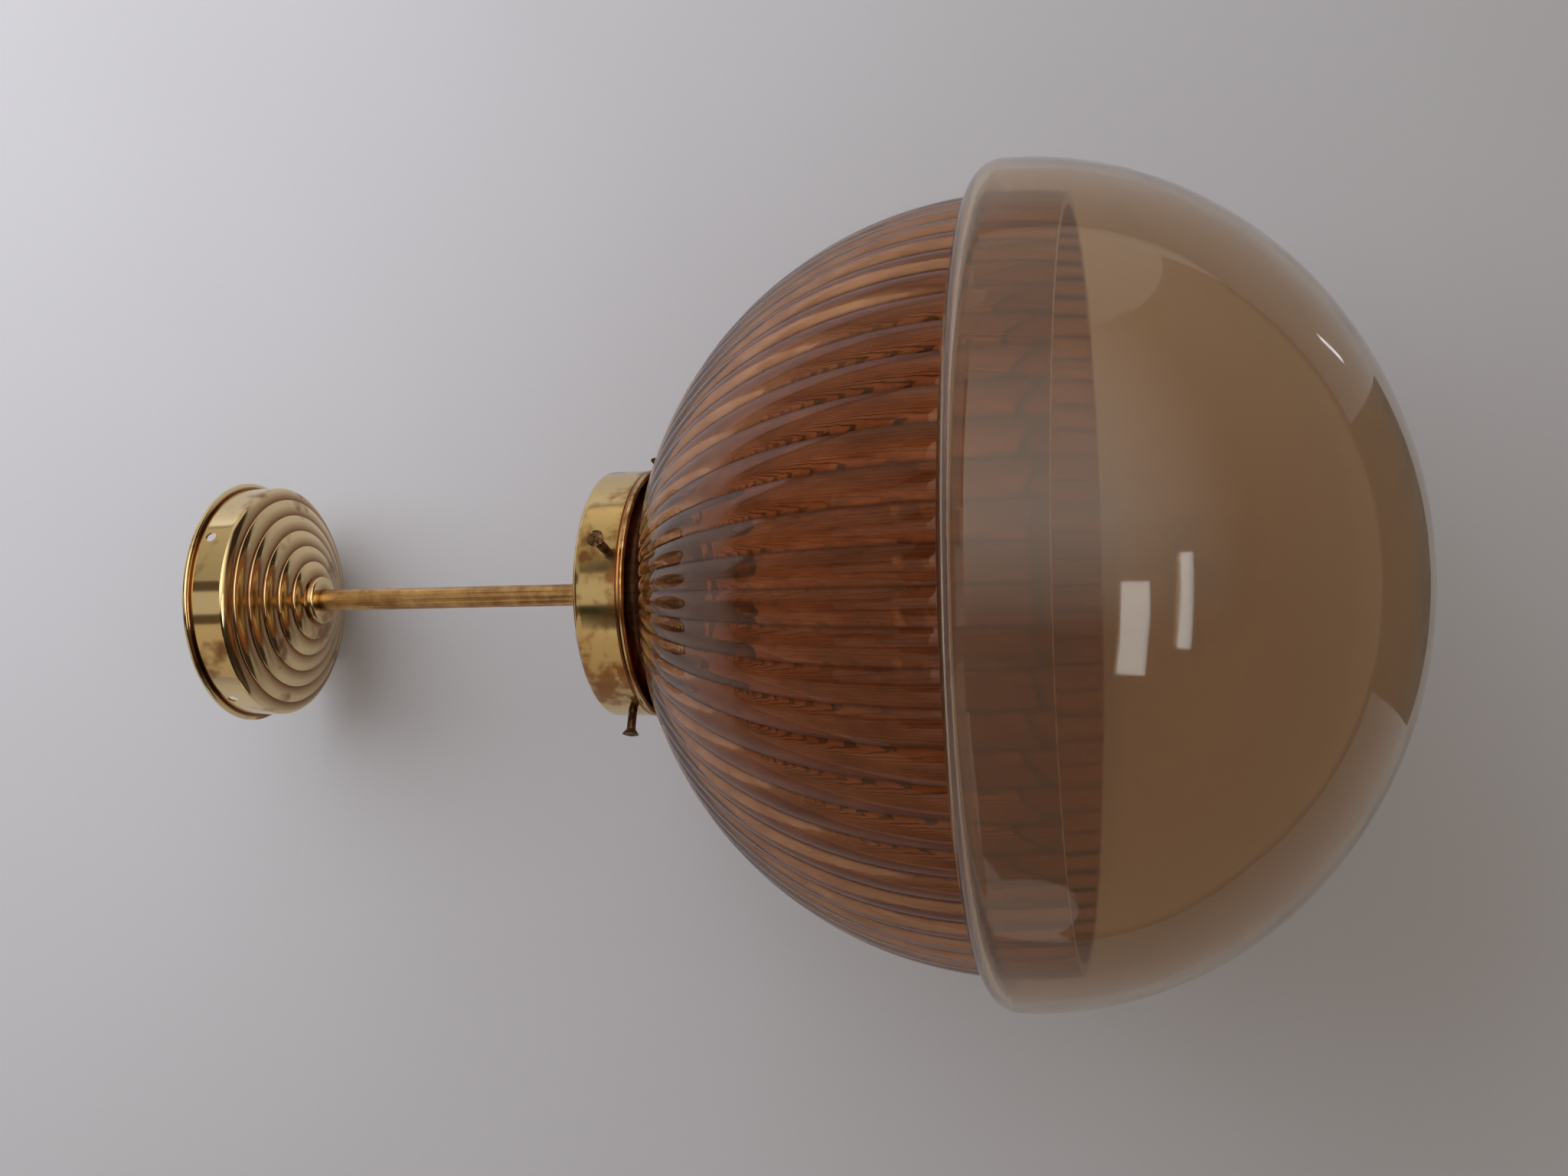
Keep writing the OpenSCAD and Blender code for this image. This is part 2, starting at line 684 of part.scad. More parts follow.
module lower_bowl() {
    edge = lower_wall / 4;
    color("#9a7256", 0.6) around(concat(
        arc(lip_r + edge, lip_z - edge, edge, 180, 90),
        arc(lip_r, wide_z, lip_round, 90 - edge, 0, 2 * arc_steps),
        oval(lower_r, lower_depth),
        reverse(oval(lower_r - lower_wall, lower_depth - lower_wall)),
        arc(lip_r, wide_z, lip_round - lower_wall, 0, 90, 2 * arc_steps)));
}

canopy();
canopy_washer();
canopy_nut();
earth_tag();
canopy_locknut();
terminal_block();
terminal_inserts();
terminal_screws();
wire_live();
wire_neutral();
wire_earth();
tube();
gallery_washer();
gallery_nut();
gallery();
gallery_screw(1);  // gallery_screw_1
gallery_screw(2);  // gallery_screw_2
gallery_screw(3);  // gallery_screw_3
gallery_screw(4);  // gallery_screw_4
holder_cap();
holder_grub_screw();
holder_insert();
holder_terminals();
holder_centre_contact();
holder_side_contact();
holder_sleeve();
holder_thread();
upper_bowl();
bowl_cement();
lower_bowl();
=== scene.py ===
# A ceiling pendant lamp, put together from the ceiling down: stepped canopy, rod with its nuts and
# wiring, gallery, lampholder, ribbed amber globe, smoked bowl, and the four gallery screws.
# Sizes are in millimetres unless a line says otherwise, and the meshes are made in metres.

import bpy
import numpy as np
from mathutils import Matrix, Vector


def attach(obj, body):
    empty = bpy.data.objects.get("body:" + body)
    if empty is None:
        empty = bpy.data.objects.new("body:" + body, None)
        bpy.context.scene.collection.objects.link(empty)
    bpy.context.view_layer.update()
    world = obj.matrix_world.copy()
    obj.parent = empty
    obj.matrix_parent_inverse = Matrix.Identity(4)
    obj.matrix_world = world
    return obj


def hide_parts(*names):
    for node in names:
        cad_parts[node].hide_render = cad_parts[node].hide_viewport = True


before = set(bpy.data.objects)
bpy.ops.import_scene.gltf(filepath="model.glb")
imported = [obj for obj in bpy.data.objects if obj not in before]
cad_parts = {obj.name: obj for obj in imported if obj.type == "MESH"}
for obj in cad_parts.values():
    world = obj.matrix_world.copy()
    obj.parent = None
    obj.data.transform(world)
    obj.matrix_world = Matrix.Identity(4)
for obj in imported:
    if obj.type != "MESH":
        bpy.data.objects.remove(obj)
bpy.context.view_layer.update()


# Canopy: a cup of brass sheet, spun over a stepped former, polished, with a rolled rim.
# It covers the ceiling fixing. Four plain holes in its wall take the screws that hold it there.

canopy_rim_r = 57.0
canopy_rim_h = 2.6
canopy_wall_r = 54.2
canopy_wall_h = 19.2
canopy_edge = 2.0
canopy_sheet = 1.0
canopy_band_r = 48.5
canopy_band_fall = 4.5
canopy_step_fall = 3.0
canopy_nose = 0.6
canopy_groove = 0.5
canopy_steps = 6
canopy_land_r = 11.25
canopy_land_round = 1.2
canopy_bore_r = 5.1
canopy_hole_r = 2.5
canopy_hole_z = -8.0
canopy_hole_turns = (-56.5, 33.5, 123.5, 213.5)
# Height of the flat land, and the radii between which a drill goes through a wall.
face_z = -38.7
drill_from = 45.0
drill_to = 60.0


def arc(cr, cz, r, a0, a1, n=10):
    """Points at radius r about (cr, cz), at n + 1 equal turns from a0 to a1 degrees, as (radius, height)."""
    a = np.radians(np.linspace(a0, a1, n + 1))
    return np.stack([cr + r * np.cos(a), cz + r * np.sin(a)], -1)


def fine(profile, step):
    """A closed outline whose stretches of length d are each split into d / step equal parts, rounded up."""
    p = np.asarray(profile, float)
    gap = np.roll(p, -1, 0) - p
    parts = np.maximum(1, np.ceil(np.linalg.norm(gap, axis=1) / step)).astype(int)
    start = np.repeat(np.arange(len(p)), parts)
    k = np.arange(parts.sum()) - np.repeat(np.cumsum(parts) - parts, parts)
    return p[start] + gap[start] * (k / parts[start])[:, None]


def skin(name, points, quads, crease=32):
    """A smooth mesh from points and rows of four point numbers, sharp where two faces meet at more
    than crease degrees. A corner equal to the next one is dropped, so a quad at a pole is a triangle."""
    keep = quads != np.roll(quads, -1, 1)
    total = keep.sum(1)
    quads, keep, total = quads[total > 2], keep[total > 2], total[total > 2]
    used, corners = np.unique(quads[keep], return_inverse=True)
    mesh = bpy.data.meshes.new(name)
    mesh.vertices.add(len(used))
    mesh.vertices.foreach_set("co", (np.asarray(points)[used] / 1000).astype(np.float32).ravel())
    mesh.loops.add(len(corners))
    mesh.loops.foreach_set("vertex_index", corners.ravel().astype(np.int32))
    mesh.polygons.add(len(total))
    mesh.polygons.foreach_set("loop_start", (np.cumsum(total) - total).astype(np.int32))
    mesh.update(calc_edges=True)
    mesh.validate()
    mesh.polygons.foreach_set("use_smooth", np.ones(len(mesh.polygons), bool))
    mesh.set_sharp_from_angle(angle=np.radians(crease))
    piece = bpy.data.objects.new(name, mesh)
    bpy.context.collection.objects.link(piece)
    return piece


def loop_faces(rows, columns, wrap_rows=True):
    """The quads of a grid of points that closes round its columns, and round its rows too if asked."""
    ids = np.arange(rows * columns).reshape(rows, columns)
    down, side = np.roll(ids, -1, 0), np.roll(ids, -1, 1)
    quads = np.stack([ids, side, np.roll(down, -1, 1), down], -1)
    return (quads if wrap_rows else quads[:-1]).reshape(-1, 4)


def bar_faces(rows, around):
    """The quads of a bar of rings whose first and last ring are each one point: a corner there is that
    ring's first point."""
    quads = loop_faces(rows, around, wrap_rows=False)
    ends = (quads < around) | (quads >= (rows - 1) * around)
    return np.where(ends, quads - quads % around, quads)


def turned(name, profile, around=256, step=1.2, crease=32):
    """A lathe surface: each outline point (r, z) becomes a ring of points (r cos t, r sin t, z).
    The outline is first put in the order that has the metal on its left, so faces point outwards."""
    p = fine(profile, step)
    q = np.roll(p, -1, 0)
    if (p[:, 0] * q[:, 1] - q[:, 0] * p[:, 1]).sum() < 0:
        p = p[::-1]
    t = np.linspace(0, 2 * np.pi, around, endpoint=False)
    r, z = p[:, :1], p[:, 1:]
    points = np.stack([r * np.cos(t), r * np.sin(t), z + 0 * t], -1).reshape(-1, 3)
    quads = loop_faces(len(p), around)
    pole = np.repeat(p[:, 0] < 1e-6, around)
    quads = np.where(pole[quads], quads - quads % around, quads)
    return skin(name, points, quads, crease)


def rod_between(name, start, end, r, sides=48):
    """A closed round bar of radius r from start to end: rings of points in the two directions square to
    it, closed by flat ends."""
    start, end = np.array(start, float), np.array(end, float)
    along = (end - start) / np.linalg.norm(end - start)
    across = np.cross(along, [0, 0, 1] if abs(along[2]) < 0.9 else [1, 0, 0])
    across /= np.linalg.norm(across)
    third = np.cross(along, across)
    t = np.linspace(0, 2 * np.pi, sides, endpoint=False)[:, None]
    ring = across * np.cos(t) + third * np.sin(t)
    rows = [start + 0 * ring, start + r * ring, end + r * ring, end + 0 * ring]
    return skin(name, np.stack(rows).reshape(-1, 3), bar_faces(len(rows), sides))


def cut_away(piece, drill, crease=32):
    """The piece's solid without the drill's solid. The drill is used up."""
    cut = piece.modifiers.new("cut", "BOOLEAN")
    cut.operation, cut.solver, cut.object = "DIFFERENCE", "EXACT", drill
    graph = bpy.context.evaluated_depsgraph_get()
    made = bpy.data.meshes.new_from_object(piece.evaluated_get(graph))
    piece.modifiers.clear()
    old, piece.data = piece.data, made
    made.name = piece.name
    bpy.data.meshes.remove(old)
    bpy.data.meshes.remove(drill.data)
    made.set_sharp_from_angle(angle=np.radians(crease))
    return piece


def drilled(piece, turns, z, r):
    """The piece with a round hole of radius r through its wall at height z, once for each turn."""
    for turn in turns:
        x, y = np.cos(np.radians(turn)), np.sin(np.radians(turn))
        start, end = (drill_from * x, drill_from * y, z), (drill_to * x, drill_to * y, z)
        cut_away(piece, rod_between("drill", start, end, r))


def linear(code):
    """An sRGB hex colour as linear light: a channel c is c / 12.92 up to 0.04045, and above it
    (c + 0.055) / 1.055 to the power 2.4."""
    c = np.array([int(code[i : i + 2], 16) for i in (1, 3, 5)]) / 255
    c = np.where(c <= 0.04045, c / 12.92, ((c + 0.055) / 1.055) ** 2.4)
    return (*c.tolist(), 1.0)


def add(tree, kind, inputs=None, **settings):
    """Adds one node with its settings. Each input is a plain value, or another node's output to link."""
    made = tree.nodes.new("ShaderNode" + kind)
    for key, value in settings.items():
        setattr(made, key, value)
    for key, value in (inputs or {}).items():
        if isinstance(value, bpy.types.NodeSocket):
            tree.links.new(value, made.inputs[key])
        else:
            made.inputs[key].default_value = value
    return made


def new_finish(name):
    """An empty material: its node tree and its output node."""
    material = bpy.data.materials.new(name)
    material.use_nodes = True
    material.node_tree.nodes.clear()
    return material, material.node_tree, add(material.node_tree, "OutputMaterial")


def wear(piece, material):
    """Gives the piece this one material."""
    piece.data.materials.clear()
    piece.data.materials.append(material)


def wear_node(name, material):
    """Puts the material in every slot of a solid from the frame, whose mesh stays as it is."""
    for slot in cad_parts[name].material_slots:
        slot.link = "OBJECT"
        slot.material = material


def brass(name, metal, stain, stained, gloss, patch, depth, shaded_grooves=None, corners=()):
    """Sheet or bar brass. metal is its clean colour and stain its tarnish, which covers about the share
    stained of it in soft clouds patch millimetres across. gloss is the clean roughness. Turning lines,
    coarser than real ones so that they show, run round the axis 0.9 mm apart and depth millimetres
    deep. Painted shade, in the stain's colour and duller, lies just outside each groove, of which the
    innermost has radius shaded_grooves[0] and the next are shaded_grooves[1] apart, below the height
    shaded_grooves[2]. Painted shade also lies in corners, each a radius, a height and a reach."""
    material, tree, out = new_finish(name)
    place = add(tree, "TexCoord").outputs["Object"]
    cloud = add(tree, "TexNoise", {"Vector": place, "Scale": 1000 / patch, "Detail": 3.0, "Roughness": 0.5})
    edge = add(tree, "TexNoise", {"Vector": place, "Scale": 4000 / patch, "Detail": 5.0, "Roughness": 0.7})
    both = add(tree, "MapRange", {"Value": edge.outputs["Fac"], "To Min": -0.1, "To Max": 0.1})
    both = add(tree, "Math", {0: cloud.outputs["Fac"], 1: both.outputs[0]}, operation="ADD")
    bare = 0.72 - 0.4 * stained
    dirty = add(tree, "MapRange", {"Value": both.outputs[0], "From Min": bare, "From Max": bare + 0.18,
                "To Min": 0.0, "To Max": 0.85}, interpolation_type="SMOOTHSTEP")
    flat = add(tree, "VectorMath", {0: place, 1: (1, 1, 0)}, operation="MULTIPLY")
    radius = add(tree, "VectorMath", {0: flat.outputs[0]}, operation="LENGTH")
    height = add(tree, "SeparateXYZ", {0: place})
    tarnish_and_shade = dirty.outputs[0]
    # Painted shade: a darker, duller strip just outside each groove, on the face below the given height.
    if shaded_grooves:
        first, pitch, top = (size / 1000 for size in shaded_grooves)
        out_of = add(tree, "Math", {0: radius.outputs["Value"], 1: first}, operation="SUBTRACT")
        past = add(tree, "Math", {0: out_of.outputs[0], 1: pitch}, operation="FLOORED_MODULO")
        groove_shade = add(tree, "MapRange", {"Value": past.outputs[0], "From Min": 0.0002, "From Max": 0.005,
                    "To Min": 0.95, "To Max": 0.0})
        face = add(tree, "Math", {0: height.outputs["Z"], 1: top}, operation="LESS_THAN")
        groove_shade = add(tree, "Math", {0: groove_shade.outputs[0], 1: face.outputs[0]}, operation="MULTIPLY")
        tarnish_and_shade = add(tree, "Math", {0: tarnish_and_shade, 1: groove_shade.outputs[0]}, operation="MAXIMUM").outputs[0]
    rings = add(tree, "CombineXYZ", {"X": radius.outputs["Value"], "Y": height.outputs["Z"]})
    # Painted shade in each corner, darkest at its middle and gone at its reach.
    for r, z, reach in corners:
        corner = (r / 1000, z / 1000, 0)
        away = add(tree, "VectorMath", {0: rings.outputs[0], 1: corner}, operation="DISTANCE")
        corner_shade = add(tree, "MapRange", {"Value": away.outputs["Value"], "From Min": reach / 3000,
                   "From Max": reach / 1000, "To Min": 0.9, "To Max": 0.0}, interpolation_type="SMOOTHSTEP")
        tarnish_and_shade = add(tree, "Math", {0: tarnish_and_shade, 1: corner_shade.outputs[0]}, operation="MAXIMUM").outputs[0]
    turning = add(tree, "TexNoise", {"Vector": rings.outputs[0], "Scale": 1000 / 0.9, "Detail": 1.0})
    colour = add(tree, "Mix", {0: tarnish_and_shade, 6: linear(metal), 7: linear(stain)}, data_type="RGBA")
    shade = add(tree, "MapRange", {"Value": cloud.outputs["Fac"], "To Min": 1.1, "To Max": 0.9})
    toned = add(tree, "VectorMath", {0: colour.outputs[2], 3: shade.outputs[0]}, operation="SCALE")
    rough = add(tree, "MapRange", {"Value": tarnish_and_shade, "To Min": gloss, "To Max": gloss + 0.11})
    bump = add(tree, "Bump", {"Height": turning.outputs["Fac"], "Distance": depth / 1000, "Strength": 0.5})
    body = add(tree, "BsdfPrincipled", {"Base Color": toned.outputs[0], "Metallic": 1.0,
               "Roughness": rough.outputs[0], "Normal": bump.outputs[0]})
    tree.links.new(body.outputs[0], out.inputs["Surface"])
    return material


band_z = -canopy_wall_h - canopy_band_fall
step_pitch = (canopy_band_r - canopy_land_r) / (canopy_steps - 1)


def swell(r, z, w, h, nose):
    """One step: a tight turn of the nose's radius, then a long swell that ends level at height z, then a
    small cove where the next step begins. The swell goes w in and h down past the turn, so it turns
    through twice the angle whose tangent is h / w."""
    turn = 2 * np.arctan(h / w)
    reach, start = w / np.sin(turn), np.degrees(turn) - 90
    return np.concatenate([arc(r - nose, z + h + nose, nose, 0, start, 6),
                           arc(r - nose - w, z + nose + reach, nose + reach, start, -90, 12),
                           arc(r - nose - w, z - canopy_groove, canopy_groove, 90, 180, 5)])


def canopy_face():
    """The outside from the wall to the land: the first swell, one for each step, and the land's edge."""
    runs = [swell(canopy_wall_r, band_z + canopy_step_fall,
                  canopy_wall_r - canopy_band_r - canopy_groove - canopy_edge,
                  canopy_band_fall - canopy_step_fall, canopy_edge)]
    for k in range(canopy_steps - 1):
        runs.append(swell(canopy_band_r - k * step_pitch, band_z - k * canopy_step_fall,
                          step_pitch - canopy_groove - canopy_nose,
                          canopy_step_fall - canopy_groove - canopy_nose, canopy_nose))
    land_edge = canopy_land_r - canopy_land_round, face_z + canopy_land_round
    runs.append(arc(*land_edge, canopy_land_round, 0, -90, 8))
    return np.concatenate(runs)


# Spun brass, buffed and left unlacquered: pale, mirror-like, with soft clouds of orange brown tarnish,
# and painted shade just outside its grooves and in the corner under its rim.
canopy_brass = brass("buffed_spun_brass", "#e6cd9c", "#84502c", stained=0.5, gloss=0.11, patch=24,
                     depth=0.004, shaded_grooves=(canopy_land_r, step_pitch, -canopy_wall_h - 0.3),
                     corners=[(canopy_wall_r, -canopy_rim_h, 1.6)])

bead = canopy_rim_h / 2
outside = canopy_face()
canopy = turned("canopy_spinning", np.concatenate([
    [[canopy_wall_r - canopy_sheet, 0]],
    arc(canopy_rim_r - bead, -bead, bead, 90, -90, 14),
    [[canopy_wall_r, -canopy_rim_h]],
    outside,
    [[canopy_bore_r, face_z], [canopy_bore_r, face_z + canopy_sheet]],
    outside[::-1] + [-canopy_sheet, canopy_sheet]]), around=288, step=1.3)
drilled(canopy, canopy_hole_turns, canopy_hole_z, canopy_hole_r)
wear(canopy, canopy_brass)
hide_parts("canopy")
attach(canopy, "lamp")


# Rod: drawn brass tube, 10 mm outside, threaded at both hidden ends. It carries the whole lamp, and
# the two mains wires run up its bore.

tube_r = 5.0
tube_bore_r = 4.0
tube_high = -22.0
tube_low = -196.4
tube_chamfer = 0.4


def drawn_brass(name, metal, stain):
    """Brass drawn through a die: noise stretched a hundredfold along the axis gives its draw marks,
    0.9 mm apart round the rod and 90 mm long, coarser than real ones so that they show. Clouds of
    tarnish 9 mm across lie over them."""
    material, tree, out = new_finish(name)
    place = add(tree, "TexCoord").outputs["Object"]
    long = add(tree, "VectorMath", {0: place, 1: (1, 1, 0.01)}, operation="MULTIPLY")
    marks = add(tree, "TexNoise", {"Vector": long.outputs[0], "Scale": 1000 / 0.9, "Detail": 3.0})
    cloud = add(tree, "TexNoise", {"Vector": place, "Scale": 1000 / 9, "Detail": 4.0, "Roughness": 0.6})
    both = add(tree, "Math", {0: marks.outputs["Fac"], 1: cloud.outputs["Fac"]}, operation="ADD")
    dirty = add(tree, "MapRange", {"Value": both.outputs[0], "From Min": 0.85, "From Max": 1.25})
    colour = add(tree, "Mix", {0: dirty.outputs[0], 6: linear(metal), 7: linear(stain)}, data_type="RGBA")
    rough = add(tree, "MapRange", {"Value": both.outputs[0], "From Min": 0.7, "From Max": 1.3,
                "To Min": 0.24, "To Max": 0.42})
    bump = add(tree, "Bump", {"Height": marks.outputs["Fac"], "Distance": 0.00002, "Strength": 0.5})
    body = add(tree, "BsdfPrincipled", {"Base Color": colour.outputs[2], "Metallic": 1.0,
               "Roughness": rough.outputs[0], "Normal": bump.outputs[0]})
    tree.links.new(body.outputs[0], out.inputs["Surface"])
    return material


# Brass as it was drawn: dull gold with long draw marks and brown clouds.
tube_brass = drawn_brass("drawn_tube_brass", "#ddb57c", "#9c724a")
tube = turned("rod", [[tube_bore_r, tube_low], [tube_r - tube_chamfer, tube_low],
                      [tube_r, tube_low + tube_chamfer], [tube_r, tube_high - tube_chamfer],
                      [tube_r - tube_chamfer, tube_high], [tube_bore_r, tube_high]], around=96, step=4)
wear(tube, tube_brass)
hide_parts("tube")
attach(tube, "lamp")


# Washers, nuts and earth tag: turned and stamped brass and plated steel, screwed on the rod.
# The stack inside the canopy clamps its land, and the pair above the gallery clamps its plate.

# Zinc plating on steel: cool grey with a cloudy bloom, 3 mm across, that dulls it.
plated_steel_finish, tree, out = new_finish("zinc_plated_steel")
place = add(tree, "TexCoord").outputs["Object"]
bloom = add(tree, "TexNoise", {"Vector": place, "Scale": 1000 / 3, "Detail": 5.0})
grey = add(tree, "Mix", {0: bloom.outputs["Fac"], 6: linear("#c2c0b8"), 7: linear("#8c8a80")},
           data_type="RGBA")
rough = add(tree, "MapRange", {"Value": bloom.outputs["Fac"], "To Min": 0.22, "To Max": 0.5})
bump = add(tree, "Bump", {"Height": bloom.outputs["Fac"], "Distance": 0.00003, "Strength": 0.4})
body = add(tree, "BsdfPrincipled", {"Base Color": grey.outputs[2], "Metallic": 1.0,
           "Roughness": rough.outputs[0], "Normal": bump.outputs[0]})
tree.links.new(body.outputs[0], out.inputs["Surface"])

# Turned brass that has gone brown where no cloth reaches it.
dull_brass = brass("tarnished_brass", "#b98e4e", "#5f3f20", stained=0.7, gloss=0.34, patch=5, depth=0.02)
# Contact brass is bright, thin and springy, and is left as it was rolled.
contact_brass = brass("contact_brass", "#d6ae66", "#9a7238", stained=0.4, gloss=0.22, patch=4, depth=0.01)

for name in ("canopy_nut", "canopy_locknut", "terminal_screws", "holder_grub_screw"):
    wear_node(name, plated_steel_finish)
for name in ("canopy_washer", "earth_tag", "gallery_washer", "gallery_nut"):
    wear_node(name, dull_brass)
for name in ("terminal_inserts", "holder_terminals", "holder_centre_contact", "holder_side_contact",
             "holder_thread"):
    wear_node(name, contact_brass)


# Terminal block: three brass clamp poles in a block moulded of cream plastic. It lies in the canopy,
# where the supply joins the lamp's own wires.

# Moulded polyamide: cream, half matt, with the fine grain of its mould.
block_finish, tree, out = new_finish("moulded_terminal_plastic")
place = add(tree, "TexCoord").outputs["Object"]
mould = add(tree, "TexNoise", {"Vector": place, "Scale": 1000 / 1.2, "Detail": 4.0})
cream = add(tree, "Mix", {0: mould.outputs["Fac"], 6: linear("#e6dfc8"), 7: linear("#cfc5a8")},
            data_type="RGBA")
bump = add(tree, "Bump", {"Height": mould.outputs["Fac"], "Distance": 0.00004, "Strength": 0.5})
body = add(tree, "BsdfPrincipled", {"Base Color": cream.outputs[2], "Roughness": 0.45,
           "Normal": bump.outputs[0]})
tree.links.new(body.outputs[0], out.inputs["Surface"])
wear_node("terminal_block", block_finish)


# Wires: copper strand in coloured insulation. Live and neutral run from the block over the nuts
# and down the rod to the lampholder, and the earth lead runs from the block to the tag.

wire_r = 1.1
# Distance of each wire from the rod's axis, and the radius of its bend over the rod's top end.
wire_off = 1.6
wire_bend = 5.0
# Poles of the block: their middle's distance from the axis, their height and their pitch.
pole_x = 24.0
pole_z = -10.5
pole_pitch = 8.0
terminal_r = 9.0
terminal_z = -203.3
# The earth tag's tongue, where its wire is soldered.
tag_x = 13.3
tag_z = -29.4


def sweep(name, route, r, sides=20, step=0.8):
    """A round bar along a smooth path: the path is a cubic curve through the route's points, and each
    ring of points is square to it, in a frame turned as little as it can be from one to the next."""
    route = np.array(route, float)
    reach = np.concatenate([[0], np.cumsum(np.linalg.norm(np.diff(route, axis=0), axis=1))])
    s = np.linspace(0, reach[-1], max(8, int(reach[-1] / step)))
    slope = np.gradient(route, reach, axis=0)
    i = np.clip(np.searchsorted(reach, s, "right") - 1, 0, len(route) - 2)
    d = (reach[i + 1] - reach[i])[:, None]
    u = (s - reach[i])[:, None] / d
    path = ((2 * u**3 - 3 * u**2 + 1) * route[i] + (u**3 - 2 * u**2 + u) * d * slope[i]
            + (3 * u**2 - 2 * u**3) * route[i + 1] + (u**3 - u**2) * d * slope[i + 1])
    along = np.gradient(path, axis=0)
    along /= np.linalg.norm(along, axis=1, keepdims=True)
    across = np.cross(along, [0, 1, 0])
    across /= np.linalg.norm(across, axis=1, keepdims=True)
    third = np.cross(along, across)
    t = np.linspace(0, 2 * np.pi, sides, endpoint=False)[None, :, None]
    rings = path[:, None] + r * (across[:, None] * np.cos(t) + third[:, None] * np.sin(t))
    rings = np.concatenate([np.repeat(path[:1, None], sides, 1), rings, np.repeat(path[-1:, None], sides, 1)])
    return skin(name, rings.reshape(-1, 3), bar_faces(len(rings), sides), crease=50)


def insulation(name, code):
    """Extruded insulation: one colour with faint scuffs 2 mm across, paler and duller than the rest."""
    material, tree, out = new_finish(name)
    place = add(tree, "TexCoord").outputs["Object"]
    scuff = add(tree, "TexNoise", {"Vector": place, "Scale": 1000 / 2, "Detail": 3.0})
    shade = add(tree, "MapRange", {"Value": scuff.outputs["Fac"], "To Min": 0.8, "To Max": 1.1})
    colour = add(tree, "VectorMath", {0: linear(code)[:3], 3: shade.outputs[0]}, operation="SCALE")
    rough = add(tree, "MapRange", {"Value": scuff.outputs["Fac"], "To Min": 0.35, "To Max": 0.6})
    body = add(tree, "BsdfPrincipled", {"Base Color": colour.outputs[0], "Roughness": rough.outputs[0]})
    tree.links.new(body.outputs[0], out.inputs["Surface"])
    return material


def mains_route(side):
    """From a lampholder terminal up the rod, over the nuts and across to a pole of the block, on the
    side that side is 1 or -1 for."""
    bend = arc(wire_bend, pole_z - wire_bend, wire_bend, 180, 90, 6)
    off, pole_y = wire_off * side, pole_pitch * side
    return np.concatenate([
        [[0, terminal_r * side, terminal_z], [0, terminal_r * side, terminal_z + 0.4],
         [0, (wire_off + terminal_r) / 2 * side, -200.5], [0, off, tube_low], [0, off, tube_low + 9],
         [0, off, -120], [0, off, -60]],
        np.stack([bend[:, 0], np.full(len(bend), off), bend[:, 1]], -1),
        [[10, (off + pole_y) / 2, pole_z], [15, pole_y, pole_z], [pole_x, pole_y, pole_z]]])


wires = {"wire_live": (mains_route(1), "#5d3821", "brown_insulation"),
         "wire_neutral": (mains_route(-1), "#2f4a86", "blue_insulation"),
         "wire_earth": ([[tag_x, 0, tag_z], [tag_x, 0, tag_z + 5], [16.6, 0, -13], [18.9, 0, pole_z],
                         [pole_x, 0, pole_z]], "#6f8a3a", "green_insulation")}
for name, (route, code, slot_name) in wires.items():
    wire = sweep(name + "_lead", route, wire_r)
    wear(wire, insulation(slot_name, code))
    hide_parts(name)
    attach(wire, "lamp")


# Gallery: a shallow cup spun from brass, clamped on the rod under a washer and nut. Its lower edge is
# rolled to a bead with a fine line pressed above it, and four tapped holes take the screws.

gallery_r = 55.2
gallery_sheet = 1.2
gallery_shoulder = 3.0
gallery_bead = 2.2
gallery_bead_out = 0.8
gallery_line = 0.4
plate_z = -186.2
gallery_low = -209.5
screw_z = -200.2
screw_hole_r = 2.05
screw_turns = (-69.5, 20.5, 110.5, 200.5)

bead = gallery_bead / 2
line_z = gallery_low + gallery_bead + bead
# The same brass, more stained where hands and the hot lamp have reached it. Painted shade lies in its
# pressed line and in the crease above its bead.
gallery_brass = brass("handled_spun_brass", "#dfc38c", "#9c6236", stained=0.66, gloss=0.12, patch=17,
                      depth=0.005, corners=[(gallery_r, line_z, 0.9),
                                            (gallery_r, gallery_low + gallery_bead, 0.7)])
gallery = turned("gallery_spinning", np.concatenate([
    [[canopy_bore_r, plate_z]],
    arc(gallery_r - gallery_shoulder, plate_z - gallery_shoulder, gallery_shoulder, 90, 0, 14),
    [[gallery_r, line_z + gallery_line], [gallery_r - gallery_line * 0.7, line_z + gallery_line * 0.3],
     [gallery_r - gallery_line * 0.7, line_z - gallery_line * 0.3], [gallery_r, line_z - gallery_line]],
    arc(gallery_r + gallery_bead_out - bead, gallery_low + bead, bead, 90, -90, 14),
    [[gallery_r - gallery_sheet, gallery_low]],
    arc(gallery_r - gallery_shoulder, plate_z - gallery_shoulder, gallery_shoulder - gallery_sheet, 0, 90),
    [[canopy_bore_r, plate_z - gallery_sheet]]]), around=288, step=1.3)
drilled(gallery, screw_turns, screw_z, screw_hole_r)
wear(gallery, gallery_brass)
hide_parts("gallery")
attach(gallery, "lamp")


# Lampholder: black phenolic cap and sleeve, moulded and screwed together round a ceramic insert.
# The cap screws on the rod's end and is locked by a grub screw.

# Phenolic resin pressed in a hot mould: brown black and softly shiny, with faint clouds of its filler.
phenolic, tree, out = new_finish("moulded_phenolic")
place = add(tree, "TexCoord").outputs["Object"]
mould = add(tree, "TexNoise", {"Vector": place, "Scale": 1000 / 6, "Detail": 5.0})
black = add(tree, "Mix", {0: mould.outputs["Fac"], 6: linear("#1d1613"), 7: linear("#332822")},
            data_type="RGBA")
rough = add(tree, "MapRange", {"Value": mould.outputs["Fac"], "To Min": 0.25, "To Max": 0.42})
body = add(tree, "BsdfPrincipled", {"Base Color": black.outputs[2], "Roughness": rough.outputs[0],
           "IOR": 1.6})
tree.links.new(body.outputs[0], out.inputs["Surface"])
wear_node("holder_cap", phenolic)
wear_node("holder_sleeve", phenolic)

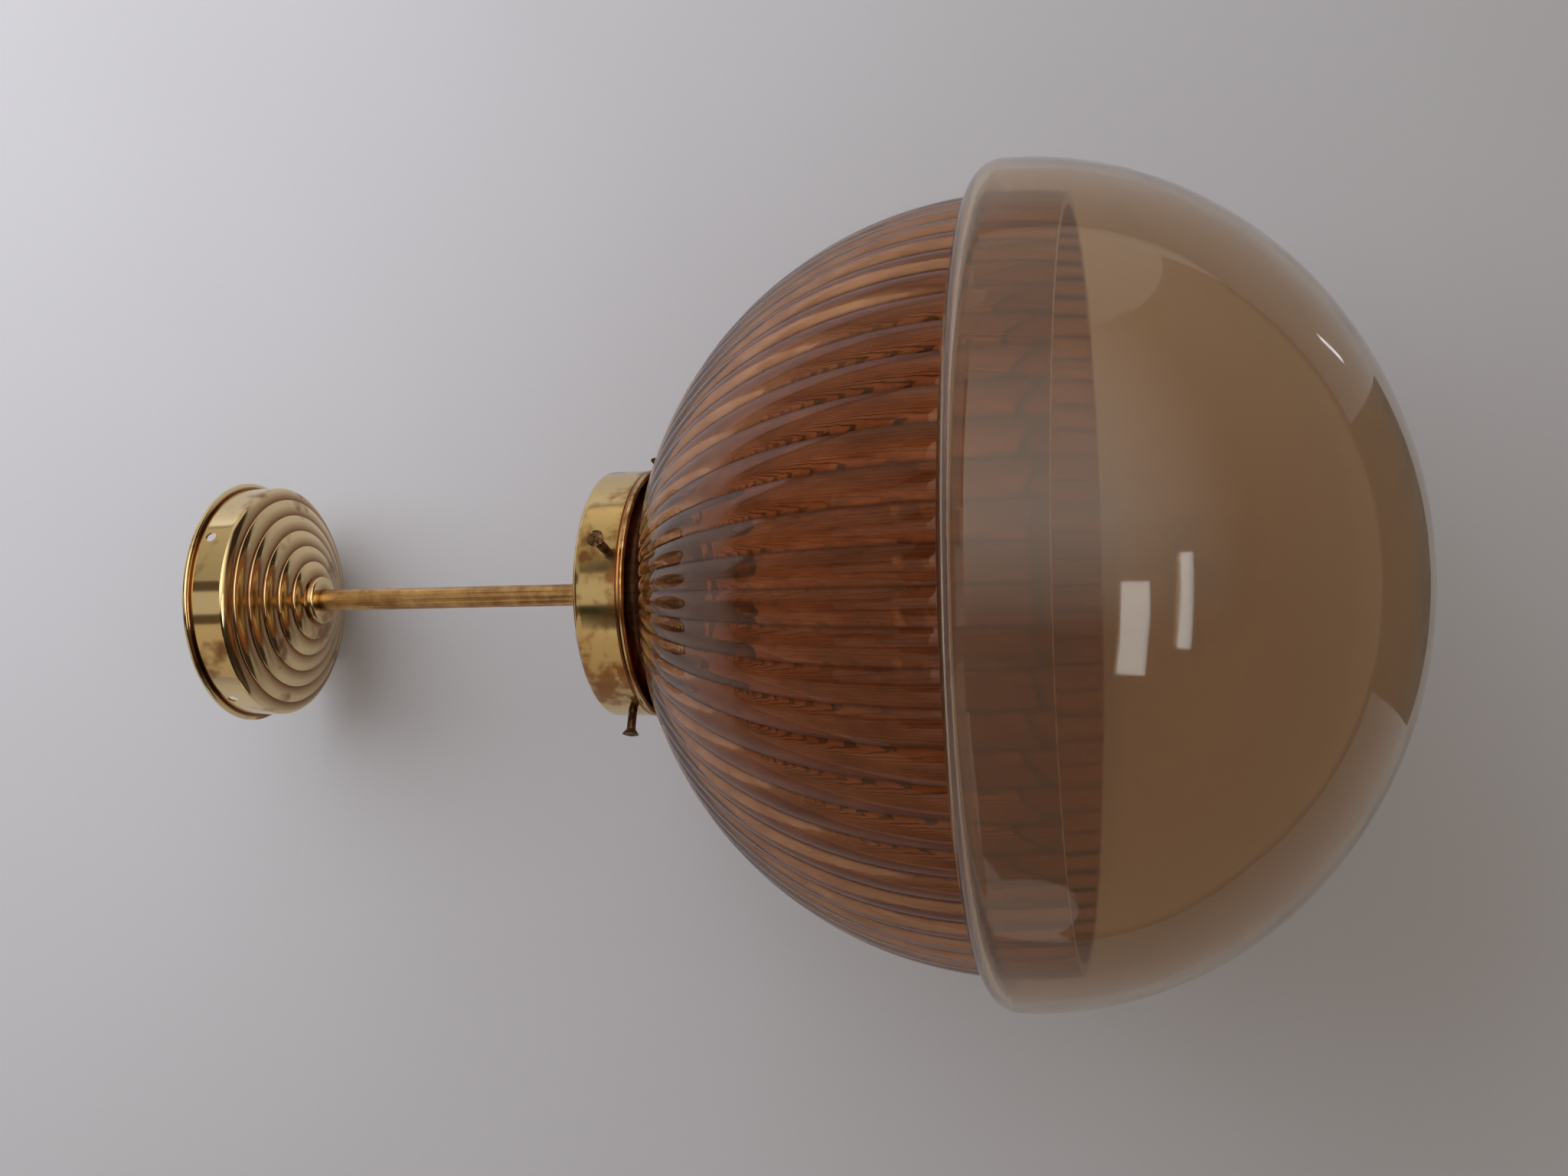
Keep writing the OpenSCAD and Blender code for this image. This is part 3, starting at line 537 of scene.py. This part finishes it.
# Glazed steatite: off-white and glossy, over the clay's slight unevenness.
ceramic, tree, out = new_finish("glazed_steatite")
place = add(tree, "TexCoord").outputs["Object"]
clay = add(tree, "TexNoise", {"Vector": place, "Scale": 1000 / 2.5, "Detail": 4.0})
white = add(tree, "Mix", {0: clay.outputs["Fac"], 6: linear("#ece7da"), 7: linear("#d8d0bd")},
            data_type="RGBA")
bump = add(tree, "Bump", {"Height": clay.outputs["Fac"], "Distance": 0.00005, "Strength": 0.4})
body = add(tree, "BsdfPrincipled", {"Base Color": white.outputs[2], "Roughness": 0.3,
           "Normal": bump.outputs[0]})
tree.links.new(body.outputs[0], out.inputs["Surface"])
wear_node("holder_insert", ceramic)


# Ribbed globe: amber glass pressed in a ribbed mould, smooth inside, open at its wide end.
# Its lipped neck hangs on the gallery's screws, and its skirt stands inside the lower bowl.

upper_r = 163.8
globe_z = -368.99
rib_count = 72
rib_depth = 1.5
inner_r = 158.9
rib_from = 18.88
rib_to = 99.38
neck_r = 50.5
neck_bore_r = 46.5
neck_top = -191.4
neck_lip = 2.9
neck_lip_h = 4.0
# Heights where the plain neck begins outside, and where its bore meets the ball inside.
neck_low = -205.0
neck_bore_low = -200.0
skirt_drop = 26.7


def clear_glass(name, tint, shade, cast, wave_size, wave_depth, rough_low, rough_high, gleam="#ffffff",
                thick=None, ribs=None):
    """Tinted soda glass. tint is what one face lets through, shade is the same under a film of dust, cast
    is what it does to the light that falls through it on the sheet, and gleam is the tint of what it
    reflects. Faint waves, wave_size millimetres across and wave_depth deep, come from its making. thick
    is the height where an edge begins to be seen through more glass, where it ends, and its deeper tint.
    ribs is their number, the colour of the painted shade along the valleys between them, and the tint of
    the smears."""
    material, tree, out = new_finish(name)
    place = add(tree, "TexCoord").outputs["Object"]
    wave = add(tree, "TexNoise", {"Vector": place, "Scale": 1000 / wave_size, "Detail": 2.0})
    dust = add(tree, "TexNoise", {"Vector": place, "Scale": 1000 / 9, "Detail": 5.0, "Roughness": 0.65})
    colour = add(tree, "Mix", {0: dust.outputs["Fac"], 6: linear(tint), 7: linear(shade)}, data_type="RGBA")
    part = add(tree, "SeparateXYZ", {0: place})
    if ribs:
        along = add(tree, "VectorMath", {0: place, 1: (1, 1, 0.2)}, operation="MULTIPLY")
        smear = add(tree, "TexNoise", {"Vector": along.outputs[0], "Scale": 1000 / 7, "Detail": 4.0,
                    "Roughness": 0.6})
        share = add(tree, "MapRange", {"Value": smear.outputs["Fac"], "From Min": 0.42, "From Max": 0.7})
        colour = add(tree, "Mix", {0: share.outputs[0], 6: colour.outputs[2], 7: linear(ribs[2])},
                     data_type="RGBA")
        # Painted shade along each rib valley, in the colour ribs[1].
        turn = add(tree, "Math", {0: part.outputs["Y"], 1: part.outputs["X"]}, operation="ARCTAN2")
        pitch = add(tree, "Math", {0: turn.outputs[0], 1: ribs[0] / (2 * np.pi)}, operation="MULTIPLY")
        away = add(tree, "Math", {0: pitch.outputs[0], 1: 0.5}, operation="PINGPONG")
        valley_shade = add(tree, "MapRange", {"Value": away.outputs[0], "From Min": 0.01, "From Max": 0.1,
                    "To Min": 0.85, "To Max": 0.0}, interpolation_type="SMOOTHSTEP")
        colour = add(tree, "Mix", {0: valley_shade.outputs[0], 6: colour.outputs[2], 7: linear(ribs[1])},
                     data_type="RGBA")
    if thick:
        share = add(tree, "MapRange", {"Value": part.outputs["Z"], "From Min": thick[0] / 1000,
                    "From Max": thick[1] / 1000})
        colour = add(tree, "Mix", {0: share.outputs[0], 6: colour.outputs[2], 7: linear(thick[2])},
                     data_type="RGBA")
    rough = add(tree, "MapRange", {"Value": dust.outputs["Fac"], "From Min": 0.35, "From Max": 0.75,
                "To Min": rough_low, "To Max": rough_high})
    bump = add(tree, "Bump", {"Height": wave.outputs["Fac"], "Distance": wave_depth / 1000, "Strength": 0.5})
    body = add(tree, "BsdfPrincipled", {"Base Color": colour.outputs[2], "Roughness": rough.outputs[0],
               "Normal": bump.outputs[0], "Transmission Weight": 0.97, "IOR": 1.5,
               "Specular Tint": linear(gleam)})
    pane = add(tree, "BsdfTransparent", {"Color": linear(cast)})
    path = add(tree, "LightPath")
    mix = add(tree, "MixShader", {0: path.outputs["Is Shadow Ray"], 1: body.outputs[0], 2: pane.outputs[0]})
    tree.links.new(mix.outputs[0], out.inputs["Surface"])
    return material


# Amber soda glass straight from the mould: brown where two walls overlap, orange where light comes
# through, with painted shade along the valleys between its ribs.
amber_glass = clear_glass("amber_pressed_glass", "#d19b72", "#c89069", "#e4d0be", wave_size=9,
                          wave_depth=0.12, rough_low=0.0, rough_high=0.04, gleam="#dec7b6",
                          ribs=(rib_count, "#86583c", "#a06c4a"))


def ball(r, a0, a1, n):
    """Points on a ball of radius r about the globe's middle, n + 1 turns from a0 to a1 from straight up."""
    a = np.radians(np.linspace(a0, a1, n + 1))
    return np.stack([r * np.sin(a), globe_z + r * np.cos(a)], -1)


def ribbed(name, ribs_each=8):
    """The globe as one closed skin. Its levels run up the outside, over the lip and down the inside.
    A level of radius R has points at R - depth (1 - |sin(n t / 2)|) for turn t and n ribs, so each rib
    swells between two sharp valleys. The ribs die away over the last level before the neck."""
    foot_z = globe_z + upper_r * np.cos(np.radians(rib_from))
    out_ball = ball(upper_r, rib_to, rib_from, 84)
    fillet = arc(neck_r + rib_depth, foot_z + rib_depth, rib_depth, 240, 180, 4)
    a = np.radians(np.linspace(0, 180, 13))
    roll_z = neck_top - neck_lip_h / 2 * (1 + np.cos(a))
    lip = np.stack([neck_r + neck_lip * np.sin(a), roll_z], -1)
    neck = np.concatenate([fillet, [[neck_r, neck_low], [neck_r, neck_top - neck_lip_h - 1]], lip,
                           [[neck_bore_r, neck_top], [neck_bore_r, neck_bore_low]]])
    within = ball(inner_r, np.degrees(np.arcsin(neck_bore_r / inner_r)),
                  90 + np.degrees(np.arcsin(skirt_drop / inner_r)), 40)
    levels = np.concatenate([out_ball, neck, within])
    depth = np.concatenate([np.full(len(out_ball), rib_depth), np.zeros(len(neck) + len(within))])
    around = rib_count * ribs_each
    t = np.linspace(0, 2 * np.pi, around, endpoint=False)
    dip = 1 - np.abs(np.sin(rib_count * t / 2))
    r = levels[:, :1] - depth[:, None] * dip
    points = np.stack([r * np.cos(t), r * np.sin(t), levels[:, 1:] + 0 * t], -1)
    return skin(name, points.reshape(-1, 3), loop_faces(len(levels), around), crease=30)


globe = ribbed("ribbed_globe")
wear(globe, amber_glass)
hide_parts("upper_bowl")
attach(globe, "lamp")


# Cement: a thin ring of dark, gritty bedding, put on wet and left to set. It joins the two glasses
# under the lower bowl's lip.

# Glazing cement: dull brown, rough with grit 1.5 mm across.
bedding, tree, out = new_finish("glazing_cement")
place = add(tree, "TexCoord").outputs["Object"]
grit = add(tree, "TexNoise", {"Vector": place, "Scale": 1000 / 1.5, "Detail": 5.0})
brown = add(tree, "Mix", {0: grit.outputs["Fac"], 6: linear("#6b5443"), 7: linear("#3f3026")},
            data_type="RGBA")
bump = add(tree, "Bump", {"Height": grit.outputs["Fac"], "Distance": 0.0002, "Strength": 0.6})
body = add(tree, "BsdfPrincipled", {"Base Color": brown.outputs[2], "Roughness": 0.75,
           "Normal": bump.outputs[0]})
tree.links.new(body.outputs[0], out.inputs["Surface"])
wear_node("bowl_cement", bedding)


# Lower bowl: smoked glass blown in a plain mould, with its edge turned in to a rounded lip.
# It closes the globe from below and is a little wider than the ribbed glass.

lip_r = 165.3
lip_z = -358.89
lip_round = 11.7
wide_z = -370.59
lower_r = 177.0
lower_depth = 163.5
lower_wall = 4.0

# Smoked soda glass, fire polished: clear, grey brown, with soft broad waves from blowing.
smoked_glass = clear_glass("smoked_blown_glass", "#e4ccb0", "#dcc6aa", "#f5f1ec", wave_size=60,
                           wave_depth=0.4, rough_low=0.03, rough_high=0.07, thick=(-366, -360, "#8f6f58"))


def oval(r, depth, n=72):
    """A quarter oval: points r cos a from the axis and depth sin a below the widest height, for a from 0
    to 90 degrees, the last of them on the axis."""
    a = np.radians(np.linspace(0, 90, n + 1))
    return np.stack([r * np.cos(a) * (np.arange(n + 1) < n), wide_z - depth * np.sin(a)], -1)


edge = lower_wall / 4
bowl = turned("smoked_bowl", np.concatenate([
    arc(lip_r + edge, lip_z - edge, edge, 180, 90, 6),
    arc(lip_r, wide_z, lip_round, 89, 0, 20),
    oval(lower_r, lower_depth),
    oval(lower_r - lower_wall, lower_depth - lower_wall)[::-1],
    arc(lip_r, wide_z, lip_round - lower_wall, 0, 90, 16)]), around=288, step=6)
wear(bowl, smoked_glass)
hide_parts("lower_bowl")
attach(bowl, "lamp")


# Gallery screws: four slotted brass screws with low countersunk heads, turned in through the gallery's
# wall by hand until their tips stand just off the glass neck.

screw_tip_r = 50.8
screw_len = 13.0
screw_r = 2.0
screw_head_r = 3.7
screw_cone = 2.1
screw_dome = 0.8
screw_slot_w = 1.0
screw_slot_h = 1.4
thread_pitch = 0.7
thread_depth = 0.25
# The chamfer at the tip, the plain shank under the head and the bevel of the head's edge.
screw_chamfer = 0.5
screw_plain = 0.8
screw_bevel = 0.12
# How far each screw's slot is turned from level, in degrees.
slot_turns = (35, 70, 70, 70)

# Screw brass has gone dark brown and dull.
screw_brass = brass("browned_screw_brass", "#7d6047", "#3a291b", stained=0.7, gloss=0.4, patch=3, depth=0.01)


def screw(name, turn, slot_turn):
    """A threaded screw. A ring at height h of the shank has radius R - depth w, where w rises and
    falls evenly once for each pitch of h less the turn's share of it, and fades at the tip and under
    the head. The head is a cone and a cap of a ball, cut by a straight slot."""
    around, rings_each = 36, 6
    h = np.arange(screw_chamfer, screw_len - screw_plain, thread_pitch / rings_each)
    t = np.linspace(0, 2 * np.pi, around, endpoint=False)
    phase = (h[:, None] / thread_pitch - t / (2 * np.pi)) % 1
    fade = np.clip(np.minimum(h - screw_chamfer, screw_len - screw_plain - h) / thread_pitch, 0, 1)[:, None]
    shank = screw_r - thread_depth * np.abs(2 * phase - 1) * fade
    ball_r = (screw_head_r**2 + screw_dome**2) / (2 * screw_dome)
    a = np.linspace(np.arcsin(screw_head_r / ball_r), 0, 9)
    top = screw_len + screw_cone + screw_dome
    cone_top = screw_len + screw_cone
    ends_r = np.concatenate([[0, screw_r - screw_chamfer, screw_r],
                             [screw_r, screw_head_r - screw_bevel, screw_head_r],
                             ball_r * np.sin(a[1:])])
    ends_h = np.concatenate([[0, 0, screw_chamfer], [screw_len, cone_top - screw_bevel, cone_top],
                             top - ball_r + ball_r * np.cos(a[1:])])
    ends_r = np.repeat(ends_r[:, None], around, 1)
    r = np.concatenate([ends_r[:3], shank[1:], ends_r[3:]])
    h = np.concatenate([ends_h[:3], h[1:], ends_h[3:]])[:, None] + 0 * t
    out = np.array([np.cos(np.radians(turn)), np.sin(np.radians(turn)), 0])
    side, up = np.cross([0, 0, 1], out), np.array([0, 0, 1])
    points = ((screw_tip_r + h)[..., None] * out + (r * np.cos(t))[..., None] * side
              + (r * np.sin(t))[..., None] * up + [0, 0, screw_z])
    piece = skin(name, points.reshape(-1, 3), bar_faces(len(r), around), crease=24)
    end = screw_tip_r + top
    half = screw_slot_w / 2
    x, y, z = np.meshgrid([end - screw_slot_h, end + 1], [-6, 6], [-half, half], indexing="ij")
    tilt = np.radians(slot_turn)
    level, rise = y * np.cos(tilt) - z * np.sin(tilt), y * np.sin(tilt) + z * np.cos(tilt)
    box = x.reshape(-1, 1) * out + level.reshape(-1, 1) * side + rise.reshape(-1, 1) * up + [0, 0, screw_z]
    faces = np.array([[0, 1, 3, 2], [4, 6, 7, 5], [0, 4, 5, 1], [2, 3, 7, 6], [0, 2, 6, 4], [1, 5, 7, 3]])
    return cut_away(piece, skin("slot_cutter", box, faces), crease=24)


for k, (turn, slot_turn) in enumerate(zip(screw_turns, slot_turns), 1):
    piece = screw(f"slotted_screw_{k}", turn, slot_turn)
    wear(piece, screw_brass)
    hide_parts(f"gallery_screw_{k}")
    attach(piece, f"screw_{k}")


# Sheet, light and camera. The lamp lies on a pale cotton sheet, touching it with its bowl and rim. The
# light is a big soft source from the upper left, two tall windows low on the right, and a pale room.

# The sheet is flat and square: the way down to it, its distance from the frame's origin that way, half
# its side, its number of points along a side, and the middle of the lamp, which its own lies below.
down = np.array([0, 0.9433, 0.332])
sheet_far = 53.8
sheet_half = 1600
sheet_points = 25
lamp_middle = np.array([0, 0, -267.0])

# Cotton: pale, matt and a little cool, with broad soft changes of tone. From behind it is clear, so it
# hides nothing in a view from below.
sheet_finish, tree, out = new_finish("pale_sheet")
place = add(tree, "TexCoord").outputs["Object"]
fold = add(tree, "TexNoise", {"Vector": place, "Scale": 3.0, "Detail": 3.0})
tone = add(tree, "Mix", {0: fold.outputs["Fac"], 6: linear("#cccccf"), 7: linear("#c1c0c2")},
           data_type="RGBA")
body = add(tree, "BsdfPrincipled", {"Base Color": tone.outputs[2], "Roughness": 0.9,
           "Specular IOR Level": 0.1})
clear = add(tree, "BsdfTransparent")
side = add(tree, "NewGeometry")
mix = add(tree, "MixShader", {0: side.outputs["Backfacing"], 1: body.outputs[0], 2: clear.outputs[0]})
tree.links.new(mix.outputs[0], out.inputs["Surface"])


def flat_faces(rows, columns):
    """The quads of a grid of points with four free edges."""
    ids = np.arange(rows * columns).reshape(rows, columns)
    return np.stack([ids[:-1, :-1], ids[1:, :-1], ids[1:, 1:], ids[:-1, 1:]], -1).reshape(-1, 4)


across = np.array([1.0, 0, 0])
along = np.cross(down, across)
middle = lamp_middle + down * (sheet_far - down @ lamp_middle)
steps = np.linspace(-sheet_half, sheet_half, sheet_points)
s, t = np.meshgrid(steps, steps, indexing="ij")
points = (middle + s[..., None] * across + t[..., None] * along).reshape(-1, 3)
sheet = skin("sheet", points, flat_faces(sheet_points, sheet_points))
if sheet.data.polygons[0].normal.dot(Vector(down)) > 0:
    sheet.data.flip_normals()
wear(sheet, sheet_finish)

# The pale room. It looks brighter than the light it gives, to the camera, in polish and through glass.
world = bpy.data.worlds.new("pale_room")
bpy.context.scene.world = world
world.use_nodes = True
world.node_tree.nodes.clear()
tree = world.node_tree
ray = add(tree, "LightPath").outputs
seen = add(tree, "Math", {0: ray["Is Camera Ray"], 1: ray["Is Glossy Ray"]}, operation="MAXIMUM")
seen = add(tree, "Math", {0: seen.outputs[0], 1: ray["Is Transmission Ray"]}, operation="MAXIMUM")
level = add(tree, "MapRange", {"Value": seen.outputs[0], "To Min": 0.42, "To Max": 0.7})
sky = add(tree, "Background", {"Color": linear("#efe5db"), "Strength": level.outputs[0]})
tree.links.new(sky.outputs[0], add(tree, "OutputWorld").inputs["Surface"])

# What polished things show of the room: curved cards round the lamp, which only polish sees. Turns go
# from the sheet's side round below the camera to its left, and heights along X, in millimetres.

room_shade = "#332b26"
card_z = -250.0


def card(name, points, code, low=1.0, high=1.0, soft_foot=None, soft_side=None):
    """A grid of points that glows low times its colour at its foot and high times at its head. It grows
    out of the dark room over the shares soft_foot and soft_side of it, from its foot and first side."""
    finish, tree, out = new_finish(name + "_card")
    rows, columns = points.shape[:2]
    rise, run = np.mgrid[0:1:rows * 1j, 0:1:columns * 1j]
    share = np.ones_like(rise)
    for reach, width in ((rise, soft_foot), (run, soft_side)):
        if width:
            share *= np.clip(reach / width, 0, 1)
    level = add(tree, "Attribute", attribute_name="level")
    mask = add(tree, "Attribute", attribute_name="share")
    bright = add(tree, "VectorMath", {0: linear(code)[:3], 3: level.outputs["Fac"]}, operation="SCALE")
    colour = add(tree, "Mix", {0: mask.outputs["Fac"], 6: linear(room_shade), 7: bright.outputs[0]},
                 data_type="RGBA")
    glow = add(tree, "Emission", {"Color": colour.outputs[2]})
    tree.links.new(glow.outputs[0], out.inputs["Surface"])
    piece = skin(name, points.reshape(-1, 3), flat_faces(rows, columns))
    for word, values in (("level", low + (high - low) * rise), ("share", share)):
        layer = piece.data.attributes.new(word, "FLOAT", "POINT")
        layer.data.foreach_set("value", values.ravel().astype(np.float32))
    piece.visible_camera = piece.visible_diffuse = False
    piece.visible_shadow = piece.visible_transmission = False
    wear(piece, finish)


def curved(radius, turns, heights, n=40):
    """Points (x, r cos t, r sin t + card_z) of a card bent round the lamp, from the first turn t to the
    second."""
    x, turn = np.meshgrid(np.linspace(*heights, n), np.radians(np.linspace(*turns, n)), indexing="ij")
    return np.stack([x, radius * np.cos(turn), radius * np.sin(turn) + card_z], -1)


card("dark_room", curved(2600, (-62, -195), (-12000, 4500)), room_shade)
card("dark_foot", curved(2300, (-30, -110), (-12000, -2400)), "#4a3d33")
card("pale_wall", curved(2500, (-110, -195), (-500, 4500)), "#d8d0c4", 3.5, 0.9, soft_foot=0.24,
     soft_side=0.46)
card("dark_left", curved(2600, (-195, -265), (-790, 730)), "#54463a")
card("brown_left", curved(2600, (-195, -265), (730, 12000)), "#989080", 1.1, 3.2)
card("low_left", curved(2600, (-205, -255), (-12000, -790)), "#a39580", 0.5, 1.3)
card("door_high", curved(2500, (-193, -204.5), (800, 3000)), "#3c3028")
card("door_middle", curved(2500, (-193, -222), (-400, 800)), "#d0c8ba", 0.8, 0.8)
card("door_left", curved(2400, (-205, -222), (360, 730)), "#54463a")
card("door_low", curved(2500, (-193, -204.5), (-1440, -400)), "#24271d")
# Two flat cards, by their corners: a dark strip on the right and a small bright edge on the upper right.
card("right_side", np.array([[[-130, 297, -690], [-420, 667, -1750.0]],
                             [[190, 297, -690], [600, 667, -1750.0]]]), "#1a1512")
card("bright_edge", np.array([[[350, 370, -915], [467, 396, -982.0]],
                              [[360, 366, -900], [477, 392, -966.0]]]), "#f4f6ff", 4, 4)


def placed(name, data, at, side, up, back):
    """A light or camera at a place in metres, whose own X, Y and Z point along side, up and back."""
    piece = bpy.data.objects.new(name, data)
    piece.matrix_world = Matrix.Translation(at) @ Matrix([side, up, back]).transposed().to_4x4()
    bpy.context.collection.objects.link(piece)
    return piece


def soft_light(name, at, towards, width, height, power, code):
    """A rectangular light at a place in metres, facing another, with its height along X."""
    data = bpy.data.lights.new(name, "AREA")
    data.shape, data.size, data.size_y, data.energy = "RECTANGLE", width, height, power
    data.color = linear(code)[:3]
    back = (Vector(at) - Vector(towards)).normalized()
    side = Vector((1, 0, 0)).cross(back).normalized()
    return placed(name, data, at, side, back.cross(side), back)


# The main light isn't mirrored, and the windows are only mirrored.
key = soft_light("upper_left_light", (0.5, -0.7, 0.2), (0, 0, -0.25), 1.1, 1.1, 10.9, "#f3f6ff")
key.visible_glossy = key.visible_transmission = False
wide = soft_light("window_wide", (-0.376, -1.672, -1.615), (-0.016, -0.166, -0.422), 0.28, 0.78, 2.9,
                  "#e6eef2")
narrow = soft_light("window_narrow", (-0.152, -1.345, -2.0), (-0.006, -0.160, -0.438), 0.13, 0.76, 1.4,
                    "#e6eef2")
wide.visible_diffuse = narrow.visible_diffuse = False

camera_data = bpy.data.cameras.new("camera")
camera_data.sensor_width, camera_data.lens = 36.0, 36.91
right = (-0.02071, 0.24577, -0.96911)
up = (0.99977, 0.0, -0.02137)
back = (-0.00525, -0.96933, -0.24571)
bpy.context.scene.camera = placed("camera", camera_data, (-0.002717, -0.690623, -0.440243), right, up, back)
bpy.context.scene.view_settings.view_transform = "Standard"
